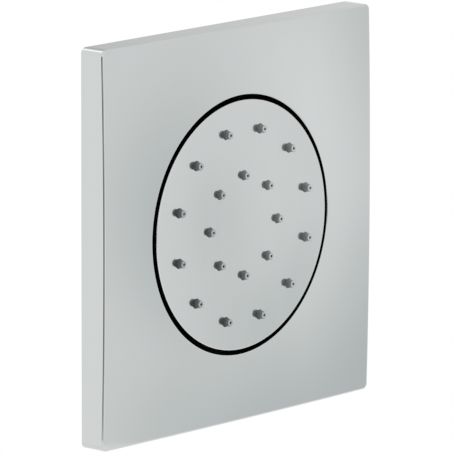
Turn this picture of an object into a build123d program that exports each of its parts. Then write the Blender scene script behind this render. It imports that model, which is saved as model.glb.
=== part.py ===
from build123d import *
import os
from math import cos, isclose, pi, radians, sin, sqrt, tan

# A wall-mounted shower body jet, in millimetres. The origin is the middle of the wall plane, +Z is up and
# the jet points along -Y. Heights below are distances in front of the wall, negative inside it.

# Trim plate: a domed square shell that hides the hole in the wall
plate_width = 120.0
plate_corner_height = 8.35
dome_radius = 2190.0
plate_wall = 2.0
plate_corner_radius = 1.8
plate_edge_round = 0.45
cavity_corner_radius = 1.0
opening_margin = 20.55
opening_round = 0.3
swing_relief = 0.8
stud_radius = 2.5
stud_end_clearance = 0.3
stud_tip_chamfer = 0.6
stud_boss_radius = 4.0
stud_boss_height = 1.2
stud_inset = 11.0
stud_cup_distance = 8.36

# Spray face: the domed polished disc with its rim
face_gap = 1.48
face_proud = 0.227
face_dome_radius = 815.0
face_wall = 1.52
face_rim_depth = 8.22
face_rim_wall = 1.5
face_edge_round = 0.25
nozzle_hole_clearance = 0.05

# Nozzles on two circles, with first angles in degrees; the tips lie in one plane in front of the rim
outer_circle_inset = 2.66
outer_count = 12
outer_first_angle = 15.0
inner_circle_share = 0.518
inner_count = 8
inner_first_angle = 0.0
nozzle_height = 2.36
collar_radius = 1.5
collar_height = 0.16
collar_bevel = 0.1
nozzle_radius = 1.25
tip_radius = 1.13
tip_bevel = 0.2
jet_radius = 0.4
jet_length = 0.9
feed_radius = 0.9

# Nozzle mat, spray chamber and the ring that clamps them into the face
mat_web = 1.3
mat_clearance = 0.25
bead_width = 1.2
bead_height = 0.6
bead_clearance = 0.1
chamber_seat_width = 4.35
chamber_depth = 3.6
chamber_wall = 1.8
chamber_flange = 2.2
chamber_clearance = 0.3
chamber_edge_bevel = 1.0
chamber_boss_wall = 3.1
chamber_boss_inside = 1.5
chamber_boss_outside = 2.2
chamber_rib_count = 8
chamber_rib_width = 1.5
chamber_rib_height = 1.8
clamp_ring_height = 2.6
clamp_ring_clearance = 0.2
clamp_notch_count = 6
clamp_notch_width = 5.0
clamp_notch_depth = 1.2

# Ball stem
ball_radius = 8.0
ball_flat_inset = 1.2
stem_bore_radius = 3.2
neck_wall = 1.4
stem_thread_radius = 6.5
stem_end_inset = 0.5
stem_shoulder = 1.5
stem_hexagon_height = 2.6
stem_swing_gap = 2.4
stem_washer_thickness = 0.8
stem_washer_inset = 0.5

# Socket: seat ring, packing and cap nut
ball_clearance = 0.06
ring_clearance = 0.1
thread_clearance = 0.05
socket_clearance = 0.3
socket_wall = 3.2
socket_rim = 1.5
seat_ring_length = 3.6
seat_ring_inner_radius = 6.0
cap_nut_wall = 2.0
cap_nut_front_wall = 1.9
cap_nut_skirt = 3.7
cap_nut_swing_gap = 1.7
cap_nut_flare = 0.9
packing_inner_radius = 4.4
packing_inset = 0.6
packing_room = 0.6
packing_clearance = 0.05
hexagon_bevel_angle = 25.0

# Inlet body and what is clamped on it
inlet_hexagon = 32.0
inlet_hexagon_height = 3.0
inlet_hexagon_gap = 0.5
inlet_web = 1.8
inlet_bore_radius = 7.6
shank_radius = 11.0
shank_spare = 0.5
relief_depth = 0.88
relief_length = 1.0
pipe_thread_radius = 10.4775
pipe_thread_length = 11.0
pipe_thread_chamfer = 0.8
gasket_thickness = 1.2
gasket_inset = 0.6
nut_washer_thickness = 1.0
nut_washer_margin = 1.5
lock_nut_hexagon = 30.0
lock_nut_height = 5.5

# Flow regulator and filter in the inlet
insert_clearance = 0.15
filter_inset = 0.4
filter_rim_width = 1.3
filter_rim_height = 2.0
filter_screen = 0.8
filter_hole_radius = 0.45
filter_hole_rings = 3
filter_hole_pitch = 1.7
regulator_length = 8.0
regulator_wall = 1.6
regulator_web = 2.4
regulator_port_radius = 0.9
regulator_port_count = 6
regulator_port_circle = 2.9
regulator_ring_section = 0.75
regulator_ring_clearance = 0.04
regulator_groove_width = 2.0

# Mounting cup, let into the wall
cup_clearance = 0.4
cup_corner_radius = 1.5
cup_flange = 2.5
cup_upstand_wall = 1.8
cup_upstand_height = 2.2
cup_swing_room = 4.55
cup_wall = 2.2
cup_straight = 5.0
cup_floor = 3.5
cup_floor_ledge = 5.5
cup_hole_clearance = 0.25
cup_rib_count = 8
cup_rib_width = 2.0
cup_rib_depth = 3.0
cup_hub_clearance = 3.5
cup_hub_wall = 2.0
cup_hub_height = 2.5

# Wall seal, wall screws and grip bushes
seal_thickness = 1.5
seal_margin = 0.6
seal_cup_clearance = 2.0
screw_inset_x = 22.0
screw_inset_z = 13.0
screw_radius = 2.0
screw_neck_radius = 2.2
screw_length = 20.0
screw_point = 3.0
screw_head_radius = 4.0
screw_head_height = 2.6
screw_head_round = 1.0
screw_slot_length = 4.6
screw_slot_width = 1.0
screw_slot_depth = 1.4
screw_hole_clearance = 0.4
bush_wall = 1.6
bush_grip_clearance = 0.05
bush_hole_clearance = 0.05
bush_collar_width = 1.2
bush_collar_height = 1.0
bush_slot_width = 0.8
bush_pad_height = 1.0
bush_pad_width = 2.2

# Heights and radii that follow from the sizes above
plate_half_diagonal = plate_width / sqrt(2)
plate_front = plate_corner_height + dome_radius - sqrt(dome_radius**2 - plate_half_diagonal**2)
dome_centre = plate_front - dome_radius
opening_radius = plate_width / 2 - opening_margin
opening_front = dome_centre + sqrt(dome_radius**2 - opening_radius**2)
face_radius = opening_radius - face_gap
face_front = opening_front + face_proud
face_dome_centre = face_front - sqrt(face_dome_radius**2 - face_radius**2)
face_crown = face_dome_centre + face_dome_radius
face_back = face_front - face_wall
face_rim_back = face_front - face_rim_depth
face_inner_radius = face_radius - face_rim_wall
mat_back = face_back - mat_web
mat_radius = face_inner_radius - mat_clearance
flange_back = mat_back - chamber_flange
chamber_radius = face_inner_radius - chamber_seat_width
chamber_outer_radius = chamber_radius + chamber_wall
chamber_flange_radius = face_inner_radius - chamber_clearance
bead_radius = (chamber_radius + chamber_flange_radius) / 2
outer_circle_radius = chamber_radius - outer_circle_inset
inner_circle_radius = inner_circle_share * outer_circle_radius
chamber_boss_radius = stem_thread_radius + chamber_boss_wall
chamber_floor = mat_back - chamber_depth
chamber_back = chamber_floor - chamber_wall
boss_front = chamber_floor + chamber_boss_inside
boss_back = chamber_back - chamber_boss_outside
clamp_ring_back = flange_back - clamp_ring_height
neck_radius = stem_bore_radius + neck_wall
stem_hexagon = 2 * (stem_thread_radius + stem_shoulder)
stem_hexagon_front = boss_back - stem_washer_thickness
stem_hexagon_back = stem_hexagon_front - stem_hexagon_height
cap_nut_front = stem_hexagon_back - stem_swing_gap
cap_nut_shoulder = cap_nut_front - cap_nut_front_wall
seat_ring_front = cap_nut_shoulder - ring_clearance
seat_ring_back = seat_ring_front - seat_ring_length
socket_front = seat_ring_back - ring_clearance
pivot = socket_front - socket_rim
socket_radius = ball_radius + socket_clearance + socket_wall
cap_nut_hexagon = 2 * (socket_radius + cap_nut_wall)
cap_nut_opening = neck_radius + cap_nut_swing_gap
cap_nut_back = socket_front - cap_nut_skirt
ball_seat_radius = ball_radius + ball_clearance
packing_back = pivot - ball_radius - packing_room
packing_outer_radius = ball_radius - packing_inset
packing_seat_radius = packing_outer_radius + packing_clearance
packing_seat_front = pivot - sqrt(ball_seat_radius**2 - packing_outer_radius**2)
inlet_hexagon_front = cap_nut_back - inlet_hexagon_gap
inlet_hexagon_back = inlet_hexagon_front - inlet_hexagon_height
cup_floor_front = inlet_hexagon_back - gasket_thickness
cup_floor_back = cup_floor_front - cup_floor
gasket_radius = inlet_hexagon / 2 - gasket_inset
nut_washer_radius = lock_nut_hexagon / 2 + nut_washer_margin
nut_washer_back = cup_floor_back - nut_washer_thickness
lock_nut_back = nut_washer_back - lock_nut_height
shank_back = lock_nut_back - shank_spare
relief_radius = pipe_thread_radius - relief_depth
pipe_thread_front = shank_back - relief_length
inlet_back = pipe_thread_front - pipe_thread_length
inlet_web_back = packing_back - inlet_web
insert_radius = inlet_bore_radius - insert_clearance
filter_back = inlet_back + filter_inset
filter_front = filter_back + filter_rim_height
regulator_front = filter_front + regulator_length
cup_width = plate_width - 2 * (plate_wall + cup_clearance)
cup_flange_front = seal_thickness + cup_flange
cup_top = cup_flange_front + cup_upstand_height
cup_radius = opening_radius + cup_swing_room
cup_outer_radius = cup_radius + cup_wall
cup_floor_radius = inlet_hexagon / 2 / cos(radians(30)) + cup_floor_ledge
cup_hole_radius = shank_radius + cup_hole_clearance
cup_hub_radius = nut_washer_radius + cup_hub_clearance
cup_hub_back = cup_floor_back - cup_hub_height
bush_bore_radius = stud_radius + bush_grip_clearance
bush_radius = bush_bore_radius + bush_wall
bush_hole_radius = bush_radius + bush_hole_clearance
bush_pad_front = cup_flange_front + bush_pad_height
bush_front = bush_pad_front + bush_collar_height
stud_tip_height = seal_thickness + stud_end_clearance
stud_circle = cup_outer_radius + stud_cup_distance
stud_spacing_x = plate_width - 2 * stud_inset
stud_spacing_z = 2 * sqrt(stud_circle**2 - (stud_spacing_x / 2)**2)
screw_spacing_x = plate_width - 2 * screw_inset_x
screw_spacing_z = plate_width - 2 * screw_inset_z

# Radius runs to the right and height in front of the wall runs upwards on this plane
section = Plane(origin=(0, 0, 0), x_dir=(1, 0, 0), z_dir=(0, 0, -1))


def turn(*outline, mode=Mode.ADD):
    """Revolve a closed outline of (radius, height) points about the jet's axis."""
    with BuildSketch(section) as profile:
        with BuildLine():
            Polyline(*outline, close=True)
        make_face()
    revolve(profile.sketch, axis=Axis.Y, mode=mode)


def ring(inner_radius, outer_radius, back, front, mode=Mode.ADD):
    """A plain turned ring between two heights."""
    turn((inner_radius, back), (outer_radius, back), (outer_radius, front), (inner_radius, front), mode=mode)


def hexagon(across_flats, back, front):
    """A hexagonal prism with its two ends turned down to round corners."""
    flat = across_flats / 2
    corner = flat / cos(radians(30))
    drop = min((corner - flat) * tan(radians(hexagon_bevel_angle)), (front - back) / 3)
    with BuildSketch(Plane.XZ.offset(back)) as outline:
        RegularPolygon(flat, 6, major_radius=False)
    extrude(outline.sketch, amount=front - back)
    turn(
        (0, back), (flat, back), (corner, back + drop), (corner, front - drop), (flat, front), (0, front),
        mode=Mode.INTERSECT,
    )


def full_circles(builder, radius):
    """The whole round edges of one radius on a part, the front one first."""
    closed = builder.edges().filter_by(lambda edge: edge.is_closed)
    return closed.filter_by(lambda edge: isclose(edge.length, 2 * pi * radius, rel_tol=1e-4)).sort_by(Axis.Y)


def circle_points(radius, count, first_angle):
    """Evenly spaced points on a circle about the jet's axis."""
    angles = [radians(first_angle + step * 360 / count) for step in range(count)]
    return [(radius * cos(angle), 0, radius * sin(angle)) for angle in angles]


nozzle_circles = [
    (outer_circle_radius, outer_count, outer_first_angle),
    (inner_circle_radius, inner_count, inner_first_angle),
]

# The room under the domed plate, everywhere one wall behind its front
with BuildPart() as plate_cavity:
    with BuildSketch(Plane.XZ):
        RectangleRounded(plate_width - 2 * plate_wall, plate_width - 2 * plate_wall, cavity_corner_radius)
    extrude(amount=plate_front)
    with Locations((0, -dome_centre, 0)):
        Sphere(dome_radius - plate_wall, mode=Mode.INTERSECT)

# Trim plate: domed square shell with four push-on studs
plate_front_at_stud = dome_centre + sqrt(dome_radius**2 - stud_circle**2)
stud_root = plate_front_at_stud - plate_wall / 2
stud_boss_back = plate_front_at_stud - plate_wall - stud_boss_height
with BuildPart() as trim_plate:
    with BuildSketch(Plane.XZ):
        RectangleRounded(plate_width, plate_width, plate_corner_radius)
    extrude(amount=plate_front)
    with Locations((0, -dome_centre, 0)):
        Sphere(dome_radius, mode=Mode.INTERSECT)
    dome = trim_plate.faces().sort_by(Axis.Y)[0]
    fillet(dome.outer_wire().edges(), plate_edge_round)
    add(plate_cavity.part, mode=Mode.SUBTRACT)
    with BuildSketch(Plane.XZ):
        Circle(opening_radius)
    extrude(amount=plate_front, mode=Mode.SUBTRACT)
    fillet(full_circles(trim_plate, opening_radius)[0], opening_round)
    chamfer(full_circles(trim_plate, opening_radius)[-1], swing_relief)
    with BuildSketch(Plane.XZ.offset(stud_boss_back)):
        with GridLocations(stud_spacing_x, stud_spacing_z, 2, 2):
            Circle(stud_boss_radius)
    extrude(amount=stud_root - stud_boss_back)
    with BuildSketch(Plane.XZ.offset(stud_tip_height)):
        with GridLocations(stud_spacing_x, stud_spacing_z, 2, 2):
            Circle(stud_radius)
    extrude(amount=stud_root - stud_tip_height)
    stud_ends = trim_plate.faces().filter_by(Axis.Y).group_by(Axis.Y)[-2]
    chamfer(stud_ends.edges(), stud_tip_chamfer)

# Spray face: domed disc, deep rim and twenty nozzle holes
with BuildPart() as spray_face:
    ring(0, face_radius, face_rim_back, face_crown)
    with Locations((0, -face_dome_centre, 0)):
        Sphere(face_dome_radius, mode=Mode.INTERSECT)
    ring(0, face_inner_radius, face_rim_back, face_back, mode=Mode.SUBTRACT)
    fillet(full_circles(spray_face, face_radius)[0], face_edge_round)
    for circle_radius, count, first_angle in nozzle_circles:
        with BuildSketch(Plane.XZ.offset(face_back)):
            with PolarLocations(circle_radius, count, first_angle):
                Circle(collar_radius + nozzle_hole_clearance)
        extrude(amount=face_crown - face_back, mode=Mode.SUBTRACT)

# One soft nozzle for each circle: collar in the face's hole, tapered tip, and a feed that narrows to the jet
nozzle_tip = face_front + nozzle_height
nozzles = []
for circle_radius, count, first_angle in nozzle_circles:
    collar_top = face_dome_centre + sqrt(face_dome_radius**2 - circle_radius**2) + collar_height
    with BuildPart() as nozzle:
        turn(
            (feed_radius, mat_back),
            (collar_radius, mat_back),
            (collar_radius, collar_top - collar_bevel),
            (collar_radius - collar_bevel, collar_top),
            (nozzle_radius, collar_top),
            (tip_radius, nozzle_tip - tip_bevel),
            (tip_radius - tip_bevel, nozzle_tip),
            (jet_radius, nozzle_tip),
            (jet_radius, nozzle_tip - jet_length),
            (feed_radius, face_front),
        )
    nozzles.append(nozzle.part)

# Nozzle mat: one soft moulding with a sealing bead and all the nozzles
with BuildPart() as nozzle_mat:
    ring(0, mat_radius, mat_back, face_back)
    ring(bead_radius - bead_width / 2, bead_radius + bead_width / 2, mat_back - bead_height, mat_back)
    for (circle_radius, count, first_angle), soft_nozzle in zip(nozzle_circles, nozzles):
        with BuildSketch(Plane.XZ.offset(mat_back)):
            with PolarLocations(circle_radius, count, first_angle):
                Circle(feed_radius)
        extrude(amount=mat_web, mode=Mode.SUBTRACT)
        with Locations(*circle_points(circle_radius, count, first_angle)):
            add(soft_nozzle)

# Spray chamber: moulded dish with a threaded boss and stiffening ribs
chamber_rib_start = (stem_thread_radius + chamber_boss_radius) / 2
chamber_rib_length = chamber_radius - chamber_rib_start
with BuildPart() as spray_chamber:
    turn(
        (stem_thread_radius, boss_front),
        (chamber_boss_radius, boss_front),
        (chamber_boss_radius, chamber_floor),
        (chamber_radius, chamber_floor),
        (chamber_radius, mat_back),
        (chamber_flange_radius, mat_back),
        (chamber_flange_radius, flange_back),
        (chamber_outer_radius, flange_back),
        (chamber_outer_radius, chamber_back + chamber_edge_bevel),
        (chamber_outer_radius - chamber_edge_bevel, chamber_back),
        (chamber_boss_radius, chamber_back),
        (chamber_boss_radius, boss_back),
        (stem_thread_radius, boss_back),
    )
    groove_half = bead_width / 2 + bead_clearance
    groove_back = mat_back - bead_height - bead_clearance
    ring(bead_radius - groove_half, bead_radius + groove_half, groove_back, mat_back, mode=Mode.SUBTRACT)
    with BuildSketch(Plane.XZ.offset(chamber_back - chamber_rib_height)):
        with PolarLocations(chamber_rib_start + chamber_rib_length / 2, chamber_rib_count):
            Rectangle(chamber_rib_length, chamber_rib_width)
    extrude(amount=chamber_rib_height + chamber_wall / 2)

# Clamp ring: threaded into the face's rim, turned with a pin spanner
with BuildPart() as clamp_ring:
    ring(chamber_outer_radius + clamp_ring_clearance, face_inner_radius, clamp_ring_back, flange_back)
    with BuildSketch(Plane.XZ.offset(clamp_ring_back)):
        with PolarLocations(chamber_outer_radius, clamp_notch_count):
            Rectangle(2 * clamp_notch_depth, clamp_notch_width)
    extrude(amount=clamp_notch_depth, mode=Mode.SUBTRACT)

# Ball stem: turned ball, neck, hexagon and thread in one piece
ball_flat_radius = sqrt(ball_radius**2 - (ball_radius - ball_flat_inset)**2)
ball_neck_rise = sqrt(ball_radius**2 - neck_radius**2)
with BuildPart() as ball_stem:
    hexagon(stem_hexagon, stem_hexagon_back, stem_hexagon_front)
    ring(0, stem_thread_radius, stem_hexagon_front, boss_front - stem_end_inset)
    with BuildSketch(section) as ball_profile:
        with BuildLine():
            Polyline(
                (ball_flat_radius, pivot - ball_radius + ball_flat_inset),
                (0, pivot - ball_radius + ball_flat_inset),
                (0, stem_hexagon_back),
                (neck_radius, stem_hexagon_back),
                (neck_radius, pivot + ball_neck_rise),
            )
            ThreePointArc(
                (neck_radius, pivot + ball_neck_rise),
                (ball_radius, pivot),
                (ball_flat_radius, pivot - ball_radius + ball_flat_inset),
            )
        make_face()
    revolve(ball_profile.sketch, axis=Axis.Y)
    ring(0, stem_bore_radius, pivot - ball_radius, boss_front, mode=Mode.SUBTRACT)

# Stem washer: seals the stem's hexagon against the chamber's boss
with BuildPart() as stem_washer:
    ring(stem_thread_radius, stem_hexagon / 2 - stem_washer_inset, stem_hexagon_front, boss_back)

# Seat ring: slippery ring with a spherical seat in front of the ball
with BuildPart() as seat_ring:
    ring(seat_ring_inner_radius, socket_radius - ring_clearance, seat_ring_back, seat_ring_front)
    with Locations((0, -pivot, 0)):
        Sphere(ball_seat_radius, mode=Mode.SUBTRACT)

# Ball packing: rubber ring with a spherical seat behind the ball
with BuildPart() as ball_seal:
    ring(packing_inner_radius, packing_outer_radius, packing_back, packing_seat_front)
    with Locations((0, -pivot, 0)):
        Sphere(ball_seat_radius, mode=Mode.SUBTRACT)

# Cap nut: draws the seat ring towards the ball
with BuildPart() as cap_nut:
    hexagon(cap_nut_hexagon, cap_nut_back, cap_nut_front)
    turn(
        (0, cap_nut_back),
        (socket_radius + thread_clearance, cap_nut_back),
        (socket_radius + thread_clearance, cap_nut_shoulder),
        (cap_nut_opening, cap_nut_shoulder),
        (cap_nut_opening + cap_nut_flare, cap_nut_front),
        (0, cap_nut_front),
        mode=Mode.SUBTRACT,
    )

# Inlet body: socket, hexagon flange, clamping shank and half-inch pipe end, turned from one bar
with BuildPart() as inlet_body:
    hexagon(inlet_hexagon, inlet_hexagon_back, inlet_hexagon_front)
    turn(
        (0, socket_front),
        (socket_radius, socket_front),
        (socket_radius, inlet_hexagon_back),
        (shank_radius, inlet_hexagon_back),
        (shank_radius, shank_back),
        (relief_radius, shank_back),
        (relief_radius, pipe_thread_front),
        (pipe_thread_radius, pipe_thread_front),
        (pipe_thread_radius, inlet_back + pipe_thread_chamfer),
        (pipe_thread_radius - pipe_thread_chamfer, inlet_back),
        (0, inlet_back),
    )
    turn(
        (0, socket_front),
        (ball_radius + socket_clearance, socket_front),
        (ball_radius + socket_clearance, packing_seat_front),
        (packing_seat_radius, packing_seat_front),
        (packing_seat_radius, packing_back),
        (packing_inner_radius, packing_back),
        (packing_inner_radius, inlet_web_back),
        (inlet_bore_radius, inlet_web_back),
        (inlet_bore_radius, inlet_back),
        (0, inlet_back),
        mode=Mode.SUBTRACT,
    )

# Flange gasket, nut washer and lock nut clamp the cup's floor on the inlet body
with BuildPart() as flange_gasket:
    ring(shank_radius, gasket_radius, cup_floor_front, inlet_hexagon_back)

with BuildPart() as nut_washer:
    ring(cup_hole_radius, nut_washer_radius, nut_washer_back, cup_floor_back)

with BuildPart() as lock_nut:
    hexagon(lock_nut_hexagon, lock_nut_back, nut_washer_back)
    ring(0, shank_radius, lock_nut_back, nut_washer_back, mode=Mode.SUBTRACT)

# Inlet filter: perforated screen in a rim, pressed into the inlet's mouth
with BuildPart() as inlet_filter:
    ring(insert_radius - filter_rim_width, insert_radius, filter_back, filter_front)
    ring(0, insert_radius - filter_rim_width, filter_front - filter_screen, filter_front)
    with BuildSketch(Plane.XZ.offset(filter_front - filter_screen)):
        Circle(filter_hole_radius)
        for hole_ring in range(1, filter_hole_rings + 1):
            with PolarLocations(hole_ring * filter_hole_pitch, 6 * hole_ring):
                Circle(filter_hole_radius)
    extrude(amount=filter_screen, mode=Mode.SUBTRACT)

# Flow regulator: cup with a ported web and a groove for its sealing ring
regulator_middle = (filter_front + regulator_front) / 2
groove_radius = inlet_bore_radius - regulator_ring_clearance - 2 * regulator_ring_section
with BuildPart() as flow_regulator:
    ring(0, insert_radius, filter_front, regulator_front)
    cup_inner = groove_radius - regulator_wall
    ring(0, cup_inner, filter_front, regulator_middle - regulator_web / 2, mode=Mode.SUBTRACT)
    ring(0, cup_inner, regulator_middle + regulator_web / 2, regulator_front, mode=Mode.SUBTRACT)
    groove_half = regulator_groove_width / 2
    ring(groove_radius, insert_radius, regulator_middle - groove_half, regulator_middle + groove_half,
         mode=Mode.SUBTRACT)
    with BuildSketch(Plane.XZ.offset(regulator_middle - regulator_web / 2)):
        with PolarLocations(regulator_port_circle, regulator_port_count):
            Circle(regulator_port_radius)
    extrude(amount=regulator_web, mode=Mode.SUBTRACT)

with BuildPart() as regulator_ring:
    with BuildSketch(section):
        with Locations((groove_radius + regulator_ring_section, regulator_middle)):
            Circle(regulator_ring_section)
    revolve(axis=Axis.Y)

# One fin on the outside of the cup's cone
with BuildPart() as cup_rib:
    with BuildSketch(section):
        with BuildLine():
            Polyline(
                (cup_radius, -cup_straight),
                (cup_outer_radius, -cup_straight),
                (cup_outer_radius, -cup_straight - cup_rib_depth),
                (cup_floor_radius + cup_wall + cup_rib_depth, cup_floor_back),
                (cup_floor_radius, cup_floor_back),
                close=True,
            )
        make_face()
    extrude(amount=cup_rib_width / 2, both=True)

# Mounting cup: square flange with an upstand, and a round cup that tapers to a clamped floor
with BuildPart() as mounting_cup:
    with BuildSketch(Plane.XZ.offset(seal_thickness)):
        RectangleRounded(cup_width, cup_width, cup_corner_radius)
        Circle(cup_radius, mode=Mode.SUBTRACT)
    extrude(amount=cup_flange)
    upstand_room = cup_width - 2 * cup_upstand_wall
    with BuildSketch(Plane.XZ.offset(cup_flange_front)):
        RectangleRounded(cup_width, cup_width, cup_corner_radius)
        Rectangle(upstand_room, upstand_room, mode=Mode.SUBTRACT)
    extrude(amount=cup_upstand_height)
    with BuildSketch(Plane.XZ.offset(cup_flange_front)):
        with GridLocations(stud_spacing_x, stud_spacing_z, 2, 2):
            Circle(bush_hole_radius + bush_pad_width)
    extrude(amount=bush_pad_height)
    turn(
        (cup_radius, cup_top),
        (cup_outer_radius, cup_top),
        (cup_outer_radius, -cup_straight),
        (cup_floor_radius + cup_wall, cup_floor_back),
        (cup_hole_radius, cup_floor_back),
        (cup_hole_radius, cup_floor_front),
        (cup_floor_radius, cup_floor_front),
        (cup_radius, -cup_straight),
    )
    ring(cup_hub_radius, cup_hub_radius + cup_hub_wall, cup_hub_back, cup_floor_back)
    cup_rib_turns = [(0, step * 360 / cup_rib_count, 0) for step in range(cup_rib_count)]
    with Locations(*[Location((0, 0, 0), rib_turn) for rib_turn in cup_rib_turns]):
        add(cup_rib.part)
    with BuildSketch(Plane.XZ.offset(seal_thickness)):
        with GridLocations(screw_spacing_x, screw_spacing_z, 2, 2):
            Circle(screw_neck_radius + screw_hole_clearance)
        with GridLocations(stud_spacing_x, stud_spacing_z, 2, 2):
            Circle(bush_hole_radius)
    extrude(amount=cup_flange + bush_pad_height, mode=Mode.SUBTRACT)

# Wall seal: foam gasket under the cup's flange
with BuildPart() as wall_seal:
    with BuildSketch(Plane.XZ):
        RectangleRounded(cup_width - 2 * seal_margin, cup_width - 2 * seal_margin, cup_corner_radius)
        Circle(cup_outer_radius + seal_cup_clearance, mode=Mode.SUBTRACT)
        with GridLocations(screw_spacing_x, screw_spacing_z, 2, 2):
            Circle(screw_neck_radius + screw_hole_clearance, mode=Mode.SUBTRACT)
    extrude(amount=seal_thickness)

# Wall screws: four pan-head screws with crossed slots
with BuildPart() as wall_screw:
    screw_end = cup_flange_front - screw_length
    head_top = cup_flange_front + screw_head_height
    turn(
        (0, screw_end),
        (screw_radius, screw_end + screw_point),
        (screw_radius, 0),
        (screw_neck_radius, 0),
        (screw_neck_radius, cup_flange_front),
        (screw_head_radius, cup_flange_front),
        (screw_head_radius, head_top - screw_head_round),
        (screw_head_radius - screw_head_round, head_top),
        (0, head_top),
    )
    with BuildSketch(Plane.XZ.offset(head_top - screw_slot_depth)):
        Rectangle(screw_slot_length, screw_slot_width)
        Rectangle(screw_slot_width, screw_slot_length)
    extrude(amount=screw_slot_depth, mode=Mode.SUBTRACT)

with BuildPart() as wall_screws:
    half_x = screw_spacing_x / 2
    half_z = screw_spacing_z / 2
    with Locations(*[(x, 0, z) for x in (-half_x, half_x) for z in (-half_z, half_z)]):
        add(wall_screw.part)

# Grip bushes: four split bushes that the plate's studs push into
with BuildPart() as grip_bush:
    turn(
        (bush_bore_radius, seal_thickness),
        (bush_radius, seal_thickness),
        (bush_radius, bush_pad_front),
        (bush_radius + bush_collar_width, bush_pad_front),
        (bush_radius + bush_collar_width, bush_front),
        (bush_bore_radius, bush_front),
    )
    with BuildSketch(Plane.XZ.offset(seal_thickness)):
        Rectangle(2 * bush_hole_radius, bush_slot_width)
        Rectangle(bush_slot_width, 2 * bush_hole_radius)
    extrude(amount=bush_pad_front - seal_thickness, mode=Mode.SUBTRACT)

with BuildPart() as grip_bushes:
    half_x = stud_spacing_x / 2
    half_z = stud_spacing_z / 2
    with Locations(*[(x, 0, z) for x in (-half_x, half_x) for z in (-half_z, half_z)]):
        add(grip_bush.part)

pieces = {
    "trim_plate": trim_plate,
    "spray_face": spray_face,
    "nozzle_mat": nozzle_mat,
    "spray_chamber": spray_chamber,
    "clamp_ring": clamp_ring,
    "ball_stem": ball_stem,
    "stem_washer": stem_washer,
    "seat_ring": seat_ring,
    "ball_seal": ball_seal,
    "cap_nut": cap_nut,
    "inlet_body": inlet_body,
    "flange_gasket": flange_gasket,
    "nut_washer": nut_washer,
    "lock_nut": lock_nut,
    "inlet_filter": inlet_filter,
    "flow_regulator": flow_regulator,
    "regulator_ring": regulator_ring,
    "mounting_cup": mounting_cup,
    "wall_seal": wall_seal,
    "wall_screws": wall_screws,
    "grip_bushes": grip_bushes,
}
os.makedirs("parts", exist_ok=True)
for name, piece in pieces.items():
    piece.part.label = name
    export_step(piece.part, f"parts/{name}.step")
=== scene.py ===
import bmesh
import bpy
from math import atan2, cos, pi, radians, sin, sqrt, tan
from mathutils import Matrix, Vector


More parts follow.
